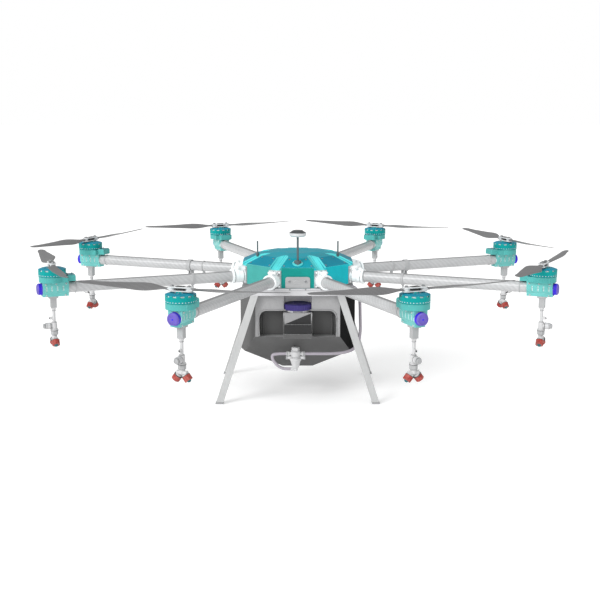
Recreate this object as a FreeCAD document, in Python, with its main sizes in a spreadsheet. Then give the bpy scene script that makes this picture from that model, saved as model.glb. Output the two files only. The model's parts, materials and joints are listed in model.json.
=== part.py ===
import FreeCAD, Part
import math
import os

from FreeCAD import Placement, Rotation, Vector

# Agricultural spray drone with eight folding arms.
# Frame: origin on the ground under the hub's axis, +Z up, the front (filler side) towards -Y.
# Every arm is modelled once along +X with its tube on the X axis, then placed eight times.

X_AXIS = Vector(1, 0, 0)
Y_AXIS = Vector(0, 1, 0)
Z_AXIS = Vector(0, 0, 1)

DRIVING = {
    # overall layout
    "arm_axis_z": 400.0,
    "motor_reach": 815.0,
    "first_arm_deg": -67.5,
    # hub
    "panel_inradius": 182.0,
    "corner_inradius": 188.0,
    "shell_wall": 3.0,
    "panel_low_z": 376.0,
    "eave_z": 442.0,
    "roof_mid_inradius": 130.0,
    "roof_mid_z": 466.0,
    "roof_top_inradius": 60.0,
    "roof_top_z": 473.0,
    "groove_radius": 22.0,
    "groove_low_z": 430.0,
    "groove_slope_deg": 24.0,
    # mounting tray between hub and tank
    "tray_half_x": 153.0,
    "tray_half_y": 185.0,
    "tray_low_z": 352.0,
    "tray_corner": 12.0,
    # arm root and tube
    "barrel_radius": 21.5,
    "fold_reach": 212.0,
    "fold_pin_up": 27.0,
    "fold_gap": 0.4,
    "barrel_end": 236.0,
    "tube_radius": 17.5,
    "tube_wall": 2.0,
    # motor pod
    "bell_radius": 42.0,
    "bell_low": 38.0,
    "bell_top": 63.5,
    "bell_wall": 3.0,
    "block_low": 20.0,
    "block_top": 37.0,
    "clamp_radius": 21.0,
    "clamp_out": 33.0,
    "clamp_in": -46.0,
    "pod_cap_radius": 18.0,
    "pod_cap_end": 47.5,
    "pod_cap_up": -2.0,
    "clamp_low": -25.0,
    # propeller
    "blade_bolt": 25.0,
    "blade_reach": 281.0,
    "blade_mid": 73.0,
    "blade_gap": 0.1,
    "lug_height": 6.8,
    # tank
    "tank_half_x": 188.0,
    "tank_half_y": 164.0,
    "tank_front_half": 137.0,
    "tank_side_half": 96.0,
    "tank_top_z": 352.0,
    "tank_base_z": 92.0,
    "tank_wall": 4.0,
    "ledge_z": 214.0,
    "side_ledge_z": 163.0,
    "recess_depth": 30.0,
    "filler_y": -146.0,
    "filler_neck_radius": 36.0,
    "filler_bore_radius": 32.0,
    "filler_neck_top": 311.0,
    "cap_radius": 45.0,
    "cap_low_z": 303.0,
    "cap_high": 18.0,
    # landing gear
    "leg_top_x": 139.0,
    "leg_top_y": 176.0,
    "foot_x": 254.0,
    "foot_y": 198.0,
    "leg_width": 24.0,
    "leg_depth": 16.0,
    "foot_high": 6.0,
    # plumbing
    "hose_radius": 5.0,
    "strainer_x": -7.0,
    "strainer_y": -148.0,
    "wing_high_z": 154.0,
    "barb_z": 103.0,
}

ARM_COUNT = 8
ARM_STEP_DEG = 45.0
# Rest angle of each propeller's line, in degrees from its own arm.
PROPELLER_YAW = (88.0, 86.0, 88.0, 87.0, 88.0, 83.0, 87.0, 95.0)
# Arms, counted anticlockwise from the front right, that carry a hose clip under the tube.
CLIP_ARMS = (3, 6)
HOOK_ARMS = (2, 7)

doc = FreeCAD.newDocument("spray_drone")
sheet = doc.addObject("Spreadsheet::Sheet", "sizes")
for row, (alias, number) in enumerate(DRIVING.items(), start=1):
    sheet.set(f"A{row}", alias)
    sheet.set(f"B{row}", str(number))
    sheet.setAlias(f"B{row}", alias)
doc.recompute()

subparts = []


def val(alias):
    """The number that the sheet holds for a driving dimension."""
    return float(sheet.get(alias))


def bind(obj, **sizes):
    """Set each property to a number, or bind it to an expression on the sheet."""
    for prop, size in sizes.items():
        path = prop.replace("__", ".")
        if isinstance(size, str):
            expression = size
            for alias in sorted(DRIVING, key=len, reverse=True):
                expression = expression.replace(f"[{alias}]", f"sizes.{alias}")
            obj.setExpression(path, expression)
        elif "." in path:
            obj.setExpression(path, str(size))
        else:
            setattr(obj, path, size)
    return obj


def place(obj, x=0, y=0, z=0, axis=None, angle=0.0):
    """Stand an object at x, y, z, turned about an axis; each coordinate may be an expression."""
    if axis is not None:
        obj.Placement = Placement(Vector(0, 0, 0), Rotation(axis, angle))
    bind(obj, Placement__Base__x=x, Placement__Base__y=y, Placement__Base__z=z)
    return obj


def box(name, low, high, **kwargs):
    """A block between two corners, each coordinate a number or an expression."""
    solid = doc.addObject("Part::Box", name)
    spans = [f"({text(b)}) - ({text(a)})" for a, b in zip(low, high)]
    bind(solid, Length=spans[0], Width=spans[1], Height=spans[2])
    return place(solid, *low, **kwargs)


def text(size):
    return size if isinstance(size, str) else repr(float(size))


def cylinder(name, radius, height, at=(0, 0, 0), axis=None, angle=0.0):
    solid = doc.addObject("Part::Cylinder", name)
    bind(solid, Radius=text(radius), Height=text(height))
    return place(solid, *at, axis=axis, angle=angle)


def rod_x(name, radius, x_low, x_high, y=0, z=0):
    """A cylinder along X from x_low to x_high."""
    length = f"({text(x_high)}) - ({text(x_low)})"
    return cylinder(name, radius, length, (x_low, y, z), Y_AXIS, 90)


def rod_y(name, radius, y_low, y_high, x=0, z=0):
    """A cylinder along Y from y_low to y_high."""
    length = f"({text(y_high)}) - ({text(y_low)})"
    return cylinder(name, radius, length, (x, y_low, z), X_AXIS, -90)


def cone(name, low_radius, high_radius, height, at=(0, 0, 0), axis=None, angle=0.0):
    solid = doc.addObject("Part::Cone", name)
    bind(solid, Radius1=text(low_radius), Radius2=text(high_radius), Height=text(height))
    return place(solid, *at, axis=axis, angle=angle)


def prism(name, sides, circumradius, height, at=(0, 0, 0), turn=0.0):
    solid = doc.addObject("Part::Prism", name)
    solid.Polygon = sides
    bind(solid, Circumradius=text(circumradius), Height=text(height))
    return place(solid, *at, axis=Z_AXIS, angle=turn)


def fuse(name, *shapes):
    result = doc.addObject("Part::MultiFuse", name)
    result.Shapes = list(shapes)
    return result


def cut(name, base, *tools):
    result = doc.addObject("Part::Cut", name)
    result.Base = base
    result.Tool = tools[0] if len(tools) == 1 else fuse(name + "_tools", *tools)
    return result


def common(name, first, second):
    result = doc.addObject("Part::MultiCommon", name)
    result.Shapes = [first, second]
    return result


def group(name, *members, at=None):
    """Several separate solids kept together as one object, placed as one."""
    result = doc.addObject("Part::Compound", name)
    result.Links = list(members)
    if at is not None:
        result.Placement = at
    return result


def ring_of(name, member, count, first_deg=0.0, centre=Vector(0, 0, 0)):
    """Copies of one object turned about a vertical line, fused into one tool."""
    copies = []
    for index in range(count):
        turn = Rotation(Z_AXIS, first_deg + index * 360.0 / count)
        at = Placement(centre - turn.multVec(centre), turn)
        copies.append(group(f"{name}_{index + 1}", member, at=at))
    return fuse(name, *copies)


def subpart(obj, label):
    """Name an object as a finished sub-part."""
    obj.Label = label
    subparts.append(obj)
    return obj


def arm_turn(number):
    """The placement that carries the arm model to arm 1 to 8."""
    angle = val("first_arm_deg") + ARM_STEP_DEG * (number - 1)
    return Placement(Vector(0, 0, val("arm_axis_z")), Rotation(Z_AXIS, angle))


def sketch_on(body, name, plane="XY_Plane"):
    """A sketch on one of the body's own origin planes."""
    sketch = body.newObject("Sketcher::SketchObject", name)
    origin_plane = [f for f in body.Origin.OriginFeatures if f.Role == plane][0]
    sketch.AttachmentSupport = [(origin_plane, "")]
    sketch.MapMode = "FlatFace"
    return sketch


def circle_in(sketch, radius, centre=(0.0, 0.0)):
    """A circle with its radius bound to an expression and its centre fixed."""
    import Sketcher

    middle = Vector(centre[0], centre[1], 0)
    index = sketch.addGeometry(Part.Circle(middle, Z_AXIS, 10.0), False)
    rule = sketch.addConstraint(Sketcher.Constraint("Radius", index, 10.0))
    bind(sketch, **{f"Constraints[{rule}]": text(radius)})
    if centre == (0.0, 0.0):
        sketch.addConstraint(Sketcher.Constraint("Coincident", index, 3, -1, 1))
    return index


# ---------------------------------------------------------------- hub


def octagon_wire(name, inradius, z):
    """A regular octagon with flat sides facing the axes, as a loft section."""
    wire = doc.addObject("Part::RegularPolygon", name)
    wire.Polygon = 8
    bind(wire, Circumradius=f"({inradius}) / cos(22.5 deg)")
    return place(wire, 0, 0, z, axis=Z_AXIS, angle=22.5)


def hub_solid(name, inset, groove_extra):
    """The hub's outer form, made smaller all round by an inset, with its eight arm grooves."""
    low = f"[panel_low_z] - {inset}"
    panels = prism(
        name + "_panels", 8, f"([panel_inradius] - {inset}) / cos(22.5 deg)",
        f"[eave_z] - [panel_low_z] + {inset}", (0, 0, low), 22.5,
    )
    levels = (
        ("eave", "[panel_inradius]", "[eave_z]"),
        ("mid", "[roof_mid_inradius]", "[roof_mid_z]"),
        ("top", "[roof_top_inradius]", "[roof_top_z]"),
    )
    wires = []
    for label, inradius, z in levels:
        drop = 0.0 if label == "eave" else inset
        wires.append(octagon_wire(f"{name}_{label}", f"{inradius} - {inset}", f"{z} - {drop}"))
    roofs = []
    for label, pair in (("lower_roof", wires[:2]), ("upper_roof", wires[1:])):
        roof = doc.addObject("Part::Loft", f"{name}_{label}")
        roof.Sections = pair
        roof.Solid = True
        roof.Ruled = True
        roofs.append(roof)
    body = fuse(name + "_body", panels, *roofs)
    corners = prism(
        name + "_corners", 8, f"([corner_inradius] - {inset}) / cos(22.5 deg)",
        200, (0, 0, 340), 0.0,
    )
    trimmed = common(name + "_trimmed", body, corners)
    radius = f"[groove_radius] + {groove_extra}"
    slope = val("groove_slope_deg")
    groove = cylinder(name + "_groove", radius, 190, (0, 0, 0), Y_AXIS, -90 + slope)
    lift = val("groove_radius") / math.cos(math.radians(slope))
    run_out = 30.0
    z_start = f"[groove_low_z] + {lift} - {run_out * math.tan(math.radians(slope))}"
    place(groove, f"[corner_inradius] + {run_out}", 0, z_start)
    grooves = ring_of(name + "_grooves", groove, ARM_COUNT, val("first_arm_deg"))
    return cut(name, trimmed, grooves)


def make_hub_cover():
    outer = hub_solid("cover_outer", 0.0, 0.0)
    inner = hub_solid("cover_inner", val("shell_wall"), val("shell_wall"))
    subpart(cut("hub_cover_shell", outer, inner), "hub_cover")


def rounded_block(name, half_x, half_y, low_z, high_z, corner):
    """An upright block centred on the hub's axis with round vertical corners."""
    block = box(name + "_block", (f"-({half_x})", f"-({half_y})", low_z), (half_x, half_y, high_z))
    rounded = doc.addObject("Part::Fillet", name)
    rounded.Base = block
    doc.recompute()
    upright = []
    for index, edge in enumerate(block.Shape.Edges, start=1):
        along = edge.Vertexes[1].Point - edge.Vertexes[0].Point
        if abs(along.x) < 0.01 and abs(along.y) < 0.01:
            upright.append((index, corner, corner))
    rounded.Edges = upright
    return rounded


def make_mounting_tray():
    corner = val("tray_corner")
    outer = rounded_block(
        "tray_outer", "[tray_half_x]", "[tray_half_y]", "[tray_low_z]", "[panel_low_z]", corner
    )
    lip = 4.0
    step = rounded_block(
        "tray_step", f"[tray_half_x] + {lip}", f"[tray_half_y] + {lip}",
        "[panel_low_z] - 4", "[panel_low_z]", corner + lip,
    )
    well = cylinder("tray_well", 96, 40, (0, 0, "[tray_low_z] + 6"))
    tray = cut("tray_body", fuse("tray_blank", outer, step), well)
    subpart(tray, "mounting_tray")


def make_front_plate():
    half = 39.5
    low, high, corner = 377.5, 413.0, 8.0
    face_y = "-[panel_inradius]"
    plate = box(
        "plate_body", (-half, f"{face_y} - 3", low), (half, face_y, high - corner)
    )
    top = box("plate_top", (corner - half, f"{face_y} - 3", low), (half - corner, face_y, high))
    rounds = []
    for side in (-1, 1):
        rounds.append(
            rod_y(
                f"plate_round_{side + 2}", corner, f"{face_y} - 3", face_y,
                side * (half - corner), high - corner,
            )
        )
    base = fuse("plate_base", plate, top, *rounds)
    screws = []
    for side in (-1, 1):
        screw = rod_y(
            f"plate_screw_{side + 2}", 5.0, f"{face_y} - 5", f"{face_y} - 3", side * 26.0, 398.0
        )
        slot = box(
            f"plate_slot_{side + 2}",
            (side * 26.0 - 3.5, f"{face_y} - 5.5", 397.2), (side * 26.0 + 3.5, f"{face_y} - 4.2", 398.8),
        )
        screws.append(cut(f"plate_screw_head_{side + 2}", screw, slot))
    boss = doc.addObject("Part::Ellipse", "plate_boss_outline")
    bind(boss, MajorRadius=13.0, MinorRadius=7.0)
    place(boss, 0, f"{face_y} - 3", 397, axis=X_AXIS, angle=90)
    emboss = doc.addObject("Part::Extrusion", "plate_boss")
    emboss.Base = boss
    emboss.DirMode = "Custom"
    emboss.Dir = Vector(0, -1, 0)
    emboss.LengthFwd = 1.2
    emboss.Solid = True
    subpart(group("front_plate_group", base, emboss, *screws), "front_plate")


def make_flight_electronics():
    floor = val("panel_low_z")
    controller = box("controller_box", (-45, -55, floor), (45, 20, floor + 34))
    battery = box("power_board", (-55, 30, floor), (55, 100, floor + 26))
    receiver = box("receiver_box", (-100, -40, floor), (-60, 10, floor + 20))
    subpart(group("electronics_group", controller, battery, receiver), "flight_electronics")


def make_antennas():
    mast_y = -158.0
    foot = cylinder("mast_foot", 11.0, 16, (0, mast_y, 446))
    mast = cylinder("mast_rod", 3.5, 88, (0, mast_y, 460))
    puck = cylinder("puck_body", 27.0, 8, (0, mast_y, 544))
    dome = cone("puck_dome", 27.0, 15.0, 8, (0, mast_y, 552))
    rim = cone("puck_under", 22.0, 27.0, 4, (0, mast_y, 540))
    members = [fuse("gps_receiver", foot, mast, puck, dome, rim)]
    for side in (-1, 1):
        socket = cylinder(f"whip_socket_{side + 2}", 5.0, 14, (side * 133.0, -35, 456))
        whip = cylinder(f"whip_rod_{side + 2}", 2.6, 44, (side * 133.0, -35, 466))
        members.append(fuse(f"whip_{side + 2}", socket, whip))
    standing = group("antennas_standing", *members)
    clear_of = hub_solid("antenna_seat", 0.0, 0.0)
    subpart(cut("antennas_body", standing, clear_of), "antennas")


# ---------------------------------------------------------------- arms


def make_root_brackets():
    """Eight fixed hinge halves: a screwed flange, a short barrel and two ears with the fold pin."""
    start = "[corner_inradius]"
    flange = box("root_flange", (start, -21, -22.5), (f"{start} + 4", 21, 33))
    barrel = rod_x("root_barrel", "[barrel_radius]", f"{start} + 4", "[fold_reach]")
    members = [flange, barrel]
    for side in (-1, 1):
        ear_low = 6.0 if side > 0 else -11.0
        disc = rod_y(
            f"root_ear_{side + 2}", 5.5, ear_low, ear_low + 5, "[fold_reach]", "[fold_pin_up]"
        )
        web = box(
            f"root_web_{side + 2}", (f"{start} + 4", ear_low, 15),
            ("[fold_reach]", ear_low + 5, "[fold_pin_up] + 5.5"),
        )
        members += [disc, web]
    pin = rod_y("root_pin", 3, -13, 13, "[fold_reach]", "[fold_pin_up]")
    members.append(pin)
    screws = []
    for index, (y, z) in enumerate(((-16, -18), (16, -18), (-16, 27), (16, 27))):
        screws.append(rod_x(f"root_screw_{index + 1}", 3, f"{start} + 4", f"{start} + 6.5", y, z))
    bracket = fuse("root_bracket", *members, *screws)
    copies = []
    for number in range(1, ARM_COUNT + 1):
        copies.append(group(f"root_bracket_{number}", bracket, at=arm_turn(number)))
    subpart(group("root_brackets_group", *copies), "arm_root_brackets")


def arm_models():
    """The moving sleeve and tube of one arm, and the extra clips that some arms carry."""
    start = "[fold_reach] + [fold_gap]"
    barrel = rod_x("sleeve_barrel", "[barrel_radius]", start, "[barrel_end]")
    lip = rod_x("sleeve_lip", "[barrel_radius] + 2.5", "[barrel_end] - 7", "[barrel_end]")
    knuckle = rod_y("sleeve_knuckle", 5.5, -5.9, 5.9, "[fold_reach]", "[fold_pin_up]")
    web = box(
        "sleeve_web", (start, -5.9, 15), ("[fold_reach] + 16", 5.9, "[fold_pin_up] + 1")
    )
    bore = rod_y("sleeve_pin_bore", 3.05, -8, 8, "[fold_reach]", "[fold_pin_up]")
    sleeve = cut("sleeve_body", fuse("sleeve_blank", barrel, lip, knuckle, web), bore)
    tube_start = "[barrel_end]"
    tube_end = "[motor_reach] + [clamp_out]"
    outer = rod_x("tube_outer", "[tube_radius]", tube_start, tube_end)
    inner = rod_x("tube_inner", "[tube_radius] - [tube_wall]", tube_start, tube_end)
    tube = cut("tube_body", outer, inner)

    def band(name, reach, width, thick=2.0):
        outside = rod_x(f"{name}_outside", f"[tube_radius] + {thick}", reach, reach + width)
        inside = rod_x(f"{name}_inside", "[tube_radius]", reach, reach + width)
        return outside, inside

    clip_outside, clip_inside = band("clip_band", 400, 14, 3.0)
    legs = []
    for side in (-1, 1):
        legs.append(box(f"clip_leg_{side + 2}", (402 + side * 4, -12, -32), (405 + side * 4, 12, 0)))
    clip = cut("hose_clip", fuse("clip_blank", clip_outside, *legs), clip_inside)
    tie_outside, tie_inside = band("tie_band", 351, 5, 1.5)
    tie_head = box("tie_head", (350, -4, -24), (357, 4, 0))
    tie = cut("cable_tie", fuse("tie_blank", tie_outside, tie_head), tie_inside)
    hook_outside, hook_inside = band("hook_band", 364, 8, 2.0)
    hook_arm = box("hook_arm", (365, -2.5, -30), (371, 2.5, 0))
    hook_toe = box("hook_toe", (365, -2.5, -30), (380, 2.5, -26))
    hook = cut("hose_hook", fuse("hook_blank", hook_outside, hook_arm, hook_toe), hook_inside)
    return sleeve, tube, [clip, tie], [hook]


def motor_mount_model():
    """Clamp block with the speed controller's housing, the fixed stator and the tube's end cap."""
    block = box("pod_block", (-42, -33, "[block_low]"), (26, 33, "[block_top]"))
    round_end = cylinder(
        "pod_round", 41, "[block_top] - [block_low]", (0, 0, "[block_low]")
    )
    housing = box("pod_housing", (-68, -20, "[block_low] + 1"), (-40, 20, "[block_top]"))
    lid = box("pod_lid", (-67, -19, "[block_top]"), (-44, 19, "[block_top] + 3"))
    clamp = rod_x("pod_clamp", "[clamp_radius]", "[clamp_in]", "[clamp_out]")
    cheek = box("pod_cheek", ("[clamp_in]", -21, 0), ("[clamp_out]", 21, "[block_low] + 2"))
    saddle = box("pod_saddle", ("[clamp_in]", -15, "[clamp_low]"), ("[clamp_out]", 15, 0))
    stator_ring = cylinder("pod_stator", 35.5, 16, (0, 0, "[block_top]"))
    bore = rod_x("pod_bore", "[tube_radius]", -90, 90)
    shaft_bore = cylinder("pod_shaft_bore", 4.05, 60, (0, 0, "[block_top] - 13"))
    slots = []
    for side in (-1, 1):
        near, far = sorted((side * 17.6, side * 30.0))
        for index, x in enumerate((-31.0, -13.0, 4.0, 20.0), start=1):
            slots.append(
                box(f"pod_slot_{side + 2}_{index}", (x, near, -8), (x + 4, far, 8))
            )
    blank = fuse("pod_blank", block, round_end, housing, lid, clamp, cheek, saddle, stator_ring)
    pod = cut("pod_body", blank, bore, shaft_bore, *slots)
    cap_up = "[pod_cap_up]"
    cap_rod = rod_x(
        "pod_cap_rod", "[pod_cap_radius]", "[clamp_out]", "[pod_cap_end] - 3", 0, cap_up
    )
    cap_nose = cone(
        "pod_cap_nose", "[pod_cap_radius]", "[pod_cap_radius] - 3", 3,
        ("[pod_cap_end] - 3", 0, cap_up), Y_AXIS, 90,
    )
    flat = box("pod_cap_flat", (20, -30, -40), (70, 30, "[pod_cap_up] - 16"))
    cap = cut("pod_end_cap", fuse("pod_cap_blank", cap_rod, cap_nose), flat)
    return group("motor_mount_model", pod, cap)


def rotor_model():
    """Motor bell with its shaft, the two propeller clamp plates and their bolts, about the Z axis."""
    wall = "[bell_radius] - [bell_wall]"
    bevel_high = 4.0
    can = cylinder(
        "bell_can", "[bell_radius]", f"[bell_top] - [bell_low] - {bevel_high}", (0, 0, "[bell_low]")
    )
    bevel = cone("bell_bevel", "[bell_radius]", 31, bevel_high, (0, 0, f"[bell_top] - {bevel_high}"))
    hollow = cylinder("bell_hollow", wall, "[bell_top] - [bell_low] - 5", (0, 0, "[bell_low]"))
    window = box("bell_window", (33, -5.5, "[bell_top] - 8.5"), (50, 5.5, "[bell_top] - 4.3"))
    windows = ring_of("bell_windows", window, 12)
    vent = box("bell_vent", (17, -2.5, "[bell_top] - 7"), (28, 2.5, "[bell_top] + 5"))
    vents = ring_of("bell_vents", vent, 8, 22.5)
    groove_out = cylinder("bell_band_out", "[bell_radius] + 1", 1.6, (0, 0, "[bell_low] + 3"))
    groove_in = cylinder("bell_band_in", "[bell_radius] - 0.8", 1.6, (0, 0, "[bell_low] + 3"))
    band = cut("bell_band", groove_out, groove_in)
    bell = cut("bell_cup", fuse("bell_blank", can, bevel), hollow, windows, vents, band)
    shaft = cylinder("bell_shaft", 4.0, 37, (0, 0, "[bell_top] - 39"))
    boss = cylinder("bell_boss", 13.0, 5, (0, 0, "[bell_top] - 1"))
    half_lug = "([lug_height] / 2 + [blade_gap])"
    lower_z = f"[blade_mid] - {half_lug} - 3"
    upper_z = f"[blade_mid] + {half_lug}"
    solids = [bell, shaft, boss]
    for name, z in (("lower", lower_z), ("upper", upper_z)):
        plate = box(f"{name}_plate", (-25, -11, z), (25, 11, f"{z} + 3"))
        solids.append(plate)
        for side in (-1, 1):
            end = cylinder(f"{name}_end_{side + 2}", 11, 3, (f"{side} * [blade_bolt]", 0, z))
            solids.append(end)
    hub_block = box("prop_hub", (-12, -8, lower_z), (12, 8, f"{upper_z} + 4"))
    solids.append(hub_block)
    for side in (-1, 1):
        at = (f"{side} * [blade_bolt]", 0, lower_z)
        solids.append(cylinder(f"blade_bolt_{side + 2}", 2.5, "[lug_height] + 9", at))
    return fuse("rotor_model", *solids)


def blade_section(name, reach, chord, thick, twist, offset, lift):
    """One lens-shaped section of a blade, square to its length."""
    outline = doc.addObject("Part::Ellipse", name)
    bind(outline, MajorRadius=chord / 2, MinorRadius=thick / 2)
    upright = Rotation(Vector(0, 1, 0), Vector(0, 0, 1), Vector(1, 0, 0), "ZXY")
    pitch = Rotation(X_AXIS, -twist)
    outline.Placement = Placement(Vector(reach, -offset, lift), pitch.multiply(upright))
    return outline


def blade_model():
    """One folding blade along +X from its bolt at the origin, its middle plane at z = 0."""
    reach = val("blade_reach")
    stations = (
        # fraction of reach, chord, thickness, twist, offset of the middle line
        (0.045, 15.0, 6.4, 2.0, 0.0),
        (0.13, 24.0, 6.2, 14.0, 1.0),
        (0.27, 44.0, 5.6, 19.0, 3.0),
        (0.45, 43.0, 4.6, 15.0, 3.5),
        (0.65, 35.0, 3.6, 11.5, 2.5),
        (0.85, 26.0, 2.6, 9.0, 1.0),
        (0.97, 19.0, 1.9, 8.0, -0.5),
        (1.0, 11.0, 1.4, 8.0, -1.5),
    )
    sections = []
    for index, (part, chord, thick, twist, offset) in enumerate(stations, start=1):
        lift = 6.0 * part * part
        sections.append(
            blade_section(f"blade_section_{index}", part * reach, chord, thick, twist, offset, lift)
        )
    wing = doc.addObject("Part::Loft", "blade_wing")
    wing.Sections = sections
    wing.Solid = True
    wing.Ruled = False
    lug = cylinder("blade_lug", 8.5, "[lug_height]", (0, 0, "-[lug_height] / 2"))
    neck = box("blade_neck", (0, -6.5, -3.1), (16, 6.5, 3.1))
    bore = cylinder("blade_bore", 2.55, 20, (0, 0, -10))
    return cut("blade_model", fuse("blade_blank", wing, lug, neck), bore)


def nozzle_model():
    """Drop pipe with a check valve and a two-outlet fan nozzle, hanging below the clamp."""
    top = "[clamp_low]"
    valve_z = -118.0
    fan_z = -156.0
    fan_tilt = 38.0
    flange = box("drop_flange", (-13.5, -13.5, f"{top} - 6"), (13.5, 13.5, top))
    bracket = box("drop_bracket", (-9, -9, -61), (9, 9, f"{top} - 6"))
    taper = cone("drop_taper", 5.5, 9.0, 7, (0, 0, -68))
    pipe = cylinder("drop_pipe", 5.0, 44, (0, 0, -110))
    hanger = box("drop_hanger", (2, -3, -98), (13, 3, -90))
    body = cylinder("valve_body", 9.0, 22, (0, 0, valve_z - 11))
    neck = rod_x("valve_neck", 7.0, 0, 14, 0, valve_z)
    cap = rod_x("valve_cap", 10.0, 12, 27, 0, valve_z)
    knob = rod_x("valve_knob", 6.0, 27, 33, 0, valve_z)
    hexagon = prism("valve_hexagon", 6, 11.5, 16, (0, 0, -146))
    ring = cylinder("valve_ring", 12.0, 4, (0, 0, -133))
    yoke = cylinder("yoke_block", 8.0, 12, (0, 0, fan_z - 1))
    yoke_bar = rod_y("yoke_bar", 6.5, -16, 16, 0, fan_z)
    drop = fuse(
        "drop_body", flange, bracket, taper, pipe, hanger, body, neck, cap, knob, hexagon,
        ring, yoke, yoke_bar,
    )
    caps = []
    for side in (-1, 1):
        at = Placement(Vector(0, side * 5.5, fan_z), Rotation(X_AXIS, fan_tilt * side))
        fan_blank = fuse(
            f"fan_blank_{side + 2}",
            cylinder(f"fan_cap_{side + 2}", 12.0, 16, (0, 0, -25)),
            cylinder(f"fan_collar_{side + 2}", 9.5, 4, (0, 0, -9)),
            cone(f"fan_tip_{side + 2}", 4.0, 7.0, 4, (0, 0, -29)),
        )
        grip = box(f"fan_grip_{side + 2}", (11, -1.5, -26), (14, 1.5, -12))
        grips = ring_of(f"fan_grips_{side + 2}", grip, 10, 18.0)
        fan = group(f"fan_at_{side + 2}", cut(f"fan_ribbed_{side + 2}", fan_blank, grips), at=at)
        near, far = sorted((0.0, side * -40.0))
        middle = box(f"fan_middle_{side + 2}", (-30, near, -210), (30, far, -130))
        caps.append(cut(f"fan_nozzle_{side + 2}", fan, drop, middle))
    return group("nozzle_model", drop, *caps)


def make_arms():
    sleeve, tube, clips, hooks = arm_models()
    pod = motor_mount_model()
    rotor = rotor_model()
    blade = blade_model()
    nozzle = nozzle_model()
    out = Placement(Vector(val("motor_reach"), 0, 0), Rotation())
    bolt = val("blade_bolt")
    up = val("blade_mid")
    for number in range(1, ARM_COUNT + 1):
        turn = arm_turn(number)
        at_motor = turn.multiply(out)
        members = [sleeve, tube]
        if number in CLIP_ARMS:
            members += clips
        if number in HOOK_ARMS:
            members += hooks
        subpart(group(f"arm_group_{number}", *members, at=turn), f"arm_{number}")
        subpart(group(f"mount_group_{number}", pod, at=at_motor), f"motor_mount_{number}")
        subpart(group(f"nozzle_group_{number}", nozzle, at=at_motor), f"nozzle_{number}")
        yaw = Placement(Vector(0, 0, 0), Rotation(Z_AXIS, PROPELLER_YAW[number - 1]))
        at_rotor = at_motor.multiply(yaw)
        subpart(group(f"rotor_group_{number}", rotor, at=at_rotor), f"rotor_{number}")
        for letter, half_turn in (("a", 0.0), ("b", 180.0)):
            half = Placement(Vector(0, 0, 0), Rotation(Z_AXIS, half_turn))
            root = Placement(Vector(bolt, 0, up), Rotation())
            at_blade = at_rotor.multiply(half).multiply(root)
            name = f"blade_{number}{letter}"
            subpart(group(f"group_{name}", blade, at=at_blade), name)


# ---------------------------------------------------------------- tank


def tank_form(name, inset):
    """The tank's outer form, made smaller all round by an inset."""
    half_x = f"([tank_half_x] - {inset})"
    half_y = f"([tank_half_y] - {inset})"
    block = box(
        name + "_block", (f"-{half_x}", f"-{half_y}", f"[tank_base_z] + {inset}"),
        (half_x, half_y, f"[tank_top_z] - {inset}"),
    )
    tools = []
    run_x = val("tank_half_x") - val("tank_front_half")
    run_y = val("tank_half_y") - val("tank_side_half")
    for side_x in (-1, 1):
        for side_y in (-1, 1):
            # an upright block whose near face is the tank's slanted corner wall
            turn = math.degrees(math.atan2(side_y * run_x, side_x * run_y))
            normal = Vector(side_x * run_y, side_y * run_x, 0).normalize()
            corner = Vector(side_x * val("tank_half_x"), side_y * val("tank_side_half"), 0)
            near = normal * (corner.dot(normal) - inset)
            tool = doc.addObject("Part::Box", f"{name}_corner_{side_x + 2}_{side_y + 2}")
            bind(tool, Length=120.0, Width=400.0, Height=400.0)
            spin = Rotation(Z_AXIS, turn)
            tool.Placement = Placement(near + spin.multVec(Vector(0, -200, 20)), spin)
            tools.append(tool)
    slopes = (
        # outward direction, point on the slanted floor near the wall, point at the sump
        (-90.0, val("tank_half_y"), val("ledge_z"), 60.0),
        (90.0, val("tank_half_y"), val("ledge_z"), 60.0),
        (0.0, val("tank_half_x"), val("side_ledge_z"), 50.0),
        (180.0, val("tank_half_x"), val("side_ledge_z"), 50.0),
    )
    for index, (outward, reach, high, sump) in enumerate(slopes, start=1):
        rise = math.degrees(math.atan2(high - val("tank_base_z"), reach - sump))
        tool = doc.addObject("Part::Box", f"{name}_slope_{index}")
        bind(tool, Length=420.0, Width=600.0, Height=200.0)
        tilt = Rotation(Z_AXIS, outward).multiply(Rotation(Y_AXIS, -rise))
        spin = Rotation(Z_AXIS, outward)
        start = spin.multVec(Vector(sump, 0, val("tank_base_z")))
        shift = tilt.multVec(Vector(-60, -300, -200 + inset))
        tool.Placement = Placement(start + shift, tilt)
        tools.append(tool)
    return cut(name, block, *tools)


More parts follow.
